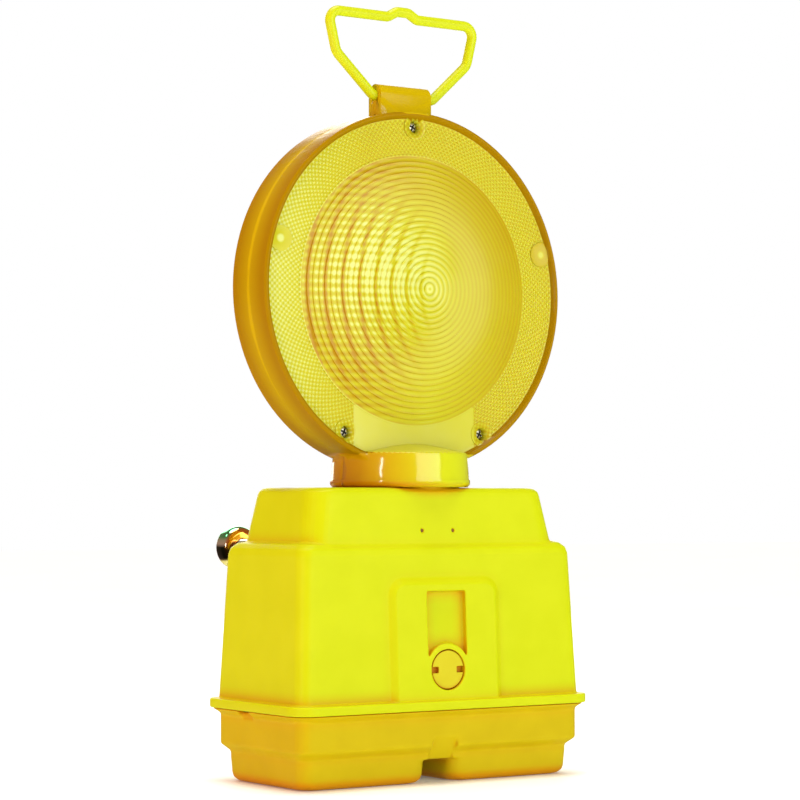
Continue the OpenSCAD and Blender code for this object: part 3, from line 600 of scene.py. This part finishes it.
def face_plate(name):
    """The front face of one half: ringed dome, smooth sector and reflex cells outside, flutes inside."""
    # each loop: its steps, its radius, and its distance from the parting plane. Instead of that distance
    # a loop of the cells has its row and step, and a loop of the inside has None
    loops = []
    for i in range(1, RINGS + 1):
        inner, outer = (i - 1) * RING_PITCH, i * RING_PITCH
        if i > 1:
            loops.append((HALF_STEPS, inner + RING_SLOPE, RING_Y + dome(inner) - RING_STEP))
        low = dome(inner) - RING_STEP * (i > 1)
        for share in RING_SHARES:
            rise = (dome(outer) - low) * math.sin(share * math.pi / 2)
            loops.append((HALF_STEPS, inner + share * RING_PITCH, RING_Y + low + rise))
        loops.append((HALF_STEPS, outer, RING_Y + dome(outer)))
    loops.append((HALF_STEPS, CELLS_FROM, RING_Y))
    for row in range(CELL_ROWS):
        for step in range(4):
            r = CELLS_FROM + CELL_MARGINS[0] + (row + step / 4) * CELL_PITCH
            loops.append((RING_STEPS, r, (row, step)))
    loops.append((RING_STEPS, CELLS_TO + CELL_MARGINS[1], RING_Y))
    loops.append((HALF_STEPS, PLATE_R, RING_Y))
    for r in (PLATE_R, DOME_R + 1, *FLUTE_RADII):
        loops.append((HALF_STEPS, r, None))
    verts, starts = [], []
    for steps, r, y in loops:
        angles = np.arange(steps) * 2 * math.pi / steps
        x, z = r * np.cos(angles), r * np.sin(angles)
        if isinstance(y, tuple):
            row, step = y
            phase = (np.arange(steps) + (2 if row % 2 else 0)) % 4
            tent = 1 - np.abs(phase - 2) / 2
            rise = tent * (1 - abs(step - 2) / 2) * CELL_DEPTH
            smooth_sector = (np.abs(x) < SMOOTH_HALF) & (z < SMOOTH_BELOW)
            depth = np.where(smooth_sector, RING_Y - SMOOTH_INSET, RING_Y - CELL_DEPTH + rise)
        elif y is None:
            depth = np.full(steps, RING_Y - PLATE_T)
            if r <= DOME_R:
                fade = min(1, (DOME_R - r) / 2)
                depth = depth + dome(r) + fade * FLUTE_DEPTH * np.cos(2 * math.pi * z / FLUTE_PITCH)
        else:
            depth = np.full(steps, float(y))
        starts.append(len(verts))
        verts.extend(np.stack([x, -depth, z + HEAD_Z], axis=-1))
    faces = []
    for (n0, *_), (n1, *_), a, b in zip(loops, loops[1:], starts, starts[1:]):
        if n0 <= n1:
            stitch(faces, a, b, n0, n1)
        else:
            stitch(faces, b, a, n1, n0)
    tip, back = len(verts), len(verts) + 1
    verts.append((0, -(RING_Y + DOME_H), HEAD_Z))
    verts.append((0, -(RING_Y + DOME_H - PLATE_T), HEAD_Z))
    first, last = starts[0], starts[-1]
    for i in range(HALF_STEPS):
        k = (i + 1) % HALF_STEPS
        faces.append((tip, first + i, first + k))
        faces.append((back, last + k, last + i))
    return add_object(name, verts, faces, AMBER, 25)


def at_screw(angle):
    a = math.radians(angle)
    return SCREW_CIRCLE * math.cos(a), HEAD_Z + SCREW_CIRCLE * math.sin(a)


def boss_cutters(angles):
    """One mesh of the boss cylinders of a half's own screws, which pass right through its face."""
    made = None
    for angle in angles:
        x, z = at_screw(angle)
        rod = y_rod("boss", BOSS_R, -RING_Y - 5, FACE_BACK + 3, x, z)
        made = rod if made is None else boolean(made, rod, "UNION")
    return made


COLLAR_TOP = 168
TUNNEL_HALF = 18
GROOVE_DEPTH, GROOVE_HALF, GROOVE_STEPS = 0.6, 0.5, 480      # the joint line round the drum
WINDOW_DEPTH, DOME_CLEARANCE = 1.5, 0.5      # how far the cut for the face plate goes past it


def lens_half(name_face, name_body, node, own_screws):
    """One half of the head: its face with rings and cells, and its CAD wall with that face cut out."""
    plate = boolean(face_plate(name_face), boss_cutters(own_screws))
    dress(plate, AMBER, 25)
    body = copy_of(node, name_body)
    if node == "rear_lens":
        body.data.transform(Matrix.Rotation(math.pi, 4, "Z"))
    dress(body, AMBER_WALL)
    window = y_rod("window", PLATE_R, -RING_Y - 0.1, FACE_BACK + WINDOW_DEPTH, 0, HEAD_Z, HALF_STEPS)
    dome_cut = y_rod("dome_cut", DOME_R + DOME_CLEARANCE, -RING_Y - DOME_H - 2, FACE_BACK + 1,
                     0, HEAD_Z, HALF_STEPS)
    boolean(window, dome_cut, "UNION")
    boolean(window, boss_cutters(own_screws))
    boolean(body, window)
    wedge = [(HEAD_R - GROOVE_DEPTH, 0), (HEAD_R + 1, -GROOVE_HALF), (HEAD_R + 1, GROOVE_HALF)]
    boolean(body, add_object("groove", *turned(wedge, GROOVE_STEPS, (0, 0, HEAD_Z)), CASE))
    dress(body, AMBER_WALL)
    for material in (COLLAR, AMBER, AMBER_TUNNEL):
        body.data.materials.append(material)
    for face in body.data.polygons:
        x, y, z = face.center / MM
        if z < COLLAR_TOP:
            face.material_index = 1
        elif math.hypot(x, z - HEAD_Z) < PLATE_R and y < FACE_BACK + 1:
            face.material_index = 2
        elif z > HEAD_Z + HEAD_R - 1 and abs(x) < TUNNEL_HALF:
            face.material_index = 3
    weighted = body.modifiers.new("normals", "WEIGHTED_NORMAL")
    weighted.keep_sharp = True
    apply_modifiers(body)
    if node == "rear_lens":
        for piece in (plate, body):
            piece.data.transform(Matrix.Rotation(math.pi, 4, "Z"))
    stands_for(plate, "head", "amber_lens")
    stands_for(body, "head", "amber_lens", node)


lens_half("front_face_plate", "front_head_wall", "front_lens", FRONT_SCREW_ANGLES)
lens_half("rear_face_plate", "rear_head_wall", "rear_lens", REAR_SCREW_ANGLES)


# ---------- lens screws ----------
SCREW_R, SCREW_DOME, SCREW_SEAT = 2.9, 2.0, 9.5
SHANK_R, SHANK_END = 1.5, 6
RECESS_BAR, RECESS_TURNS = (3.9, 1.6, 0.95), (25, 115)


def screws(name, angles, at_back=False):
    """Pan-head screws with a cross recess, their heads at the bottom of the bosses."""
    parts = []
    arc = np.radians(np.linspace(0, 84, 8))
    for angle in angles:
        x, z = at_screw(angle)
        dome_line = [(SCREW_R * math.cos(a) ** 0.6, -SCREW_SEAT - SCREW_DOME * math.sin(a)) for a in arc]
        profile = [(SHANK_R, SHANK_END), (SHANK_R, -SCREW_SEAT), *dome_line]
        head = add_object(name, *closed_disc(profile, 40, (x, 0, z)), STEEL)
        # the cross recess keeps the cutter's painted shade
        for turn in RECESS_TURNS:
            boolean(head, box_object(RECESS_BAR, (x, -SCREW_SEAT - SCREW_DOME, z), turn))
        parts.append(head)
    joined, *others = parts
    for part in others:
        boolean(joined, part, "UNION")
    if at_back:
        joined.data.transform(Matrix.Scale(-1, 4, (0, 1, 0)))
    return joined


stands_for(screws("front_screws", FRONT_SCREW_ANGLES), "head", "plated_steel", "front_lens_screws")
stands_for(screws("rear_screws", REAR_SCREW_ANGLES, at_back=True), "head", "plated_steel",
           "rear_lens_screws")


# ---------- handle ----------
WIRE_R = (HANDLE_HIGH[1] - HANDLE_LOW[1]) / 2
HANDLE_X = (HANDLE_HIGH[0] + HANDLE_LOW[0]) / 2
PIVOT_Z = HANDLE_LOW[2] + WIRE_R
GRIP_RISE = 3.1         # the raised middle of the top bar
TOP_Z = HANDLE_HIGH[2] - WIRE_R - GRIP_RISE
CORNER_TAKES = 1.5      # what the rounding of the top corners takes off the width
HANDLE_HALF = (HANDLE_HIGH[0] - HANDLE_LOW[0]) / 2 - WIRE_R + CORNER_TAKES
HALF_PATH = [(0, PIVOT_Z), (18.9, PIVOT_Z), (41.6, PIVOT_Z + 20.7), (HANDLE_HALF, TOP_Z),
             (9.2, TOP_Z), (3.6, TOP_Z + GRIP_RISE), (0, TOP_Z + GRIP_RISE)]
BENDS = [0, 4, 8, 5.5, 4, 4, 0]      # the radius at each point of that path
BEND_STEP, WIRE_SIDES = 6, 32        # degrees for each part of a bend, and sides round the wire


def rounded_path(points, radii, step):
    """The polyline with each corner replaced by an arc, drawn in steps of that many degrees."""
    out = [np.array(points[0], float)]
    for before, here, after, radius in zip(points, points[1:], points[2:], radii[1:]):
        p, q, s = (np.array(v, float) for v in (before, here, after))
        u, v = (q - p) / np.linalg.norm(q - p), (s - q) / np.linalg.norm(s - q)
        angle = math.acos(np.clip(u @ v, -1, 1))
        back = radius * math.tan(angle / 2)
        side = np.sign(u[0] * v[1] - u[1] * v[0])
        centre = q - u * back + side * radius * np.array([-u[1], u[0]])
        arm = q - u * back - centre
        count = max(3, int(math.degrees(angle) / step))
        for k in range(count + 1):
            t = side * angle * k / count
            c, n = math.cos(t), math.sin(t)
            out.append(centre + np.array([c * arm[0] - n * arm[1], n * arm[0] + c * arm[1]]))
    out.append(np.array(points[-1], float))
    return out


def handle():
    """The handle's wire: half of its loop, mirrored, and closed through the tunnel."""
    half = rounded_path(HALF_PATH, BENDS, BEND_STEP)
    line = half + [np.array([-p[0], p[1]]) for p in half[-2:0:-1]]
    n = len(line)
    angles = np.arange(WIRE_SIDES) * 2 * math.pi / WIRE_SIDES
    verts = []
    for i, p in enumerate(line):
        t = line[(i + 1) % n] - line[i - 1]
        t = t / np.linalg.norm(t)
        normal = np.array([-t[1], t[0]])
        for a in angles:
            off = WIRE_R * math.cos(a) * normal
            verts.append((HANDLE_X + p[0] + off[0], WIRE_R * math.sin(a), p[1] + off[1]))
    faces = []
    for i in range(n):
        stitch(faces, i * WIRE_SIDES, (i + 1) % n * WIRE_SIDES, WIRE_SIDES, WIRE_SIDES)
    return add_object("handle_wire", verts, faces, HANDLE, 0)


stands_for(handle(), "handle", "handle_yellow", "carry_handle")


# ---------- bolt and cup washer ----------
CUP_R = (CUP_HIGH[0] - CUP_LOW[0]) / 2
CUP_Y, CUP_DEPTH = CUP_LOW[1], CUP_HIGH[1] - CUP_LOW[1]
CUP_T, CUP_ROUND, CUP_BORE = 1.5, 4.5, 5.06


def cup():
    """The cup washer: a turned shell with a rounded foot and lip, open away from the case."""
    arc = np.radians(np.linspace(-90, 0, 16))
    outer, inner = ([(CUP_R - CUP_ROUND + r * math.cos(a), CUP_ROUND + r * math.sin(a)) for a in arc]
                    for r in (CUP_ROUND, CUP_ROUND - CUP_T))
    lip = [(CUP_R - CUP_T * (1 - math.cos(a)) / 2, CUP_DEPTH - CUP_T / 2 + CUP_T / 2 * math.sin(a))
           for a in np.radians(np.linspace(0, 180, 9))]
    profile = [(CUP_BORE, 0), *outer, *lip, *inner[::-1], (CUP_BORE, CUP_T)]
    verts, faces = turned(profile, 96, (0, CUP_Y, BOLT_Z))
    return add_object("cup_shell", verts, faces, CHROME, 50)


stands_for(cup(), "washer", "chrome", "cup_washer")

BOLT_R = 9.525 / 2
THREAD_PITCH = 25.4 / 16
THREAD_DEPTH = 0.85
THREAD_FROM = 50
THREAD_SIDES, THREAD_ROWS = 36, 8      # round the shank, and to each turn along it
CHAMFER, CHAMFER_SLOPE = 1.1, 0.9
BOLT_HEAD_R, BOLT_HEAD_H, BOLT_SQUARE, BOLT_SQUARE_END = 10.4, 3.6, 9.5, 33.0
HEAD_BURIED = 2         # how far the shank and the square start inside the head


def threaded_bolt():
    """Carriage bolt: domed head, square neck, and a shank with a rolled thread to its chamfered end."""
    start, end = BOLT_LOW[1] + HEAD_BURIED, BOLT_HIGH[1]
    sides = THREAD_SIDES
    rows = np.arange(start, end - 0.05, THREAD_PITCH / THREAD_ROWS)
    angles = np.arange(sides) * 2 * math.pi / sides
    verts = []
    for y in rows:
        phase = (y / THREAD_PITCH - angles / (2 * math.pi)) % 1
        depth = THREAD_DEPTH * np.clip(1.25 * (1 - np.abs(2 * phase - 1)) - 0.12, 0, 1)
        fade = np.clip((y - THREAD_FROM) / 2, 0, 1)
        r = BOLT_R - 0.02 - depth * fade
        r = np.minimum(r, BOLT_R - CHAMFER + (end - y) * CHAMFER_SLOPE)
        x, z = r * np.cos(angles), BOLT_Z + r * np.sin(angles)
        verts.extend(np.stack([x, np.full(sides, y), z], axis=-1))
    faces = []
    for i in range(len(rows) - 1):
        stitch(faces, i * sides, (i + 1) * sides, sides, sides)
    faces.append(tuple(range(sides)))
    faces.append(tuple(range((len(rows) - 1) * sides, len(rows) * sides))[::-1])
    shank = add_object("threaded_bolt", verts, faces, STEEL, 0)
    arc = np.radians(np.linspace(84, 0, 12))
    head = [(BOLT_HEAD_R * math.cos(a), BOLT_LOW[1] + BOLT_HEAD_H * (1 - math.sin(a))) for a in arc]
    head.append((BOLT_HEAD_R, BOLT_LOW[1] + BOLT_HEAD_H + 0.6))
    boolean(shank, add_object("head", *closed_disc(head, 64, (0, 0, BOLT_Z)), STEEL), "UNION")
    square = box_object((BOLT_SQUARE, BOLT_SQUARE_END - start, BOLT_SQUARE),
                        (0, (BOLT_SQUARE_END + start) / 2, BOLT_Z), 0)
    dress(square, STEEL)
    boolean(shank, square, "UNION")
    return dress(shank, STEEL, 30)


stands_for(threaded_bolt(), "cover", "plated_steel", "mount_bolt")

# ---------- camera, light and floor ----------
CAMERA_AT, CAMERA_AIM = Vector((-0.7889, -1.1432, 0.1426)), Vector((0, 0, 0.1962))
CAMERA_SENSOR, CAMERA_LENS = 36, 119.55
AMBIENT = (1.0, 0.60, 0.42, 1)
AMBIENT_STRENGTH = 0.30
LIGHTS_AIM = Vector((0, 0, 0.2))
SUN_POWER, SUN_ANGLE = 2.65, 40

scene = bpy.context.scene
scene.view_settings.view_transform = "Standard"
camera = bpy.data.objects.new("camera", bpy.data.cameras.new("camera"))
scene.collection.objects.link(camera)
scene.camera = camera
camera.location = CAMERA_AT
camera.rotation_mode = "QUATERNION"
camera.rotation_quaternion = (CAMERA_AIM - CAMERA_AT).to_track_quat("-Z", "Y")
camera.data.sensor_width, camera.data.lens = CAMERA_SENSOR, CAMERA_LENS
world = bpy.data.worlds.new("studio")
scene.world = world
world.use_nodes = True


def studio_world(tree):
    """A white backdrop that lights the lamp less than it shows."""
    backdrop = tree.nodes["Background"]
    backdrop.inputs["Color"].default_value = (1, 1, 1, 1)
    ambient = tree.nodes.new("ShaderNodeBackground")
    ambient.inputs["Color"].default_value = AMBIENT
    ambient.inputs["Strength"].default_value = AMBIENT_STRENGTH
    path = tree.nodes.new("ShaderNodeLightPath")
    mix = tree.nodes.new("ShaderNodeMixShader")
    tree.links.new(path.outputs["Is Camera Ray"], mix.inputs["Fac"])
    tree.links.new(ambient.outputs["Background"], mix.inputs[1])
    tree.links.new(backdrop.outputs["Background"], mix.inputs[2])
    tree.links.new(mix.outputs["Shader"], tree.nodes["World Output"].inputs["Surface"])


studio_world(world.node_tree)


def softbox(name, azimuth, elevation, distance, size, power, colour=(1, 1, 1), mirrored=True):
    """A rectangular light facing the lamp. Azimuth 0 is in front, at -Y, and 90 at +X."""
    light = bpy.data.lights.new(name, "AREA")
    light.shape, (light.size, light.size_y) = "RECTANGLE", size
    light.energy, light.color = power, colour
    obj = bpy.data.objects.new(name, light)
    scene.collection.objects.link(obj)
    a, e = math.radians(azimuth), math.radians(elevation)
    way = Vector((math.sin(a) * math.cos(e), -math.cos(a) * math.cos(e), math.sin(e)))
    obj.location = LIGHTS_AIM + distance * way
    obj.rotation_mode = "QUATERNION"
    obj.rotation_quaternion = (LIGHTS_AIM - obj.location).to_track_quat("-Z", "Y")
    obj.visible_glossy = mirrored


# name, azimuth, elevation, distance, size, power and colour
softbox("key", 15, 12, 1.9, (1.5, 1.0), 17.8, (0.97, 1.0, 0.88))
softbox("strip", -66, 4, 1.5, (0.09, 0.5), 2.6)
softbox("side", -84, 10, 1.6, (1.0, 1.2), 10.5, (1.0, 0.26, 0.05), mirrored=False)
softbox("rear", -120, 48, 1.5, (0.4, 0.22), 1.2)
softbox("back", 155, 15, 1.9, (1.5, 1.0), 13, (0.98, 1.0, 0.92))
sun = bpy.data.lights.new("overhead", "SUN")
sun.energy, sun.angle = SUN_POWER, math.radians(SUN_ANGLE)
scene.collection.objects.link(bpy.data.objects.new("overhead", sun))

FLOOR_HALF = 6.0
floor_mesh = bpy.data.meshes.new("floor")
corners = [(FLOOR_HALF * a, FLOOR_HALF * b, 0) for a, b in ((-1, -1), (1, -1), (1, 1), (-1, 1))]
floor_mesh.from_pydata(corners, [], [(0, 1, 2, 3)])
floor = bpy.data.objects.new("floor", floor_mesh)
scene.collection.objects.link(floor)
floor.visible_glossy = False
PAPER = surface("floor_paper", (0.92, 0.95, 0.97), (0.94, 0.97, 0.99), (0.7, 0.8),
                blotch=3, grain=300, Emission_Color=(0.8, 0.9, 1.0, 1.0), Emission_Strength=0.10)
floor_mesh.materials.append(PAPER)
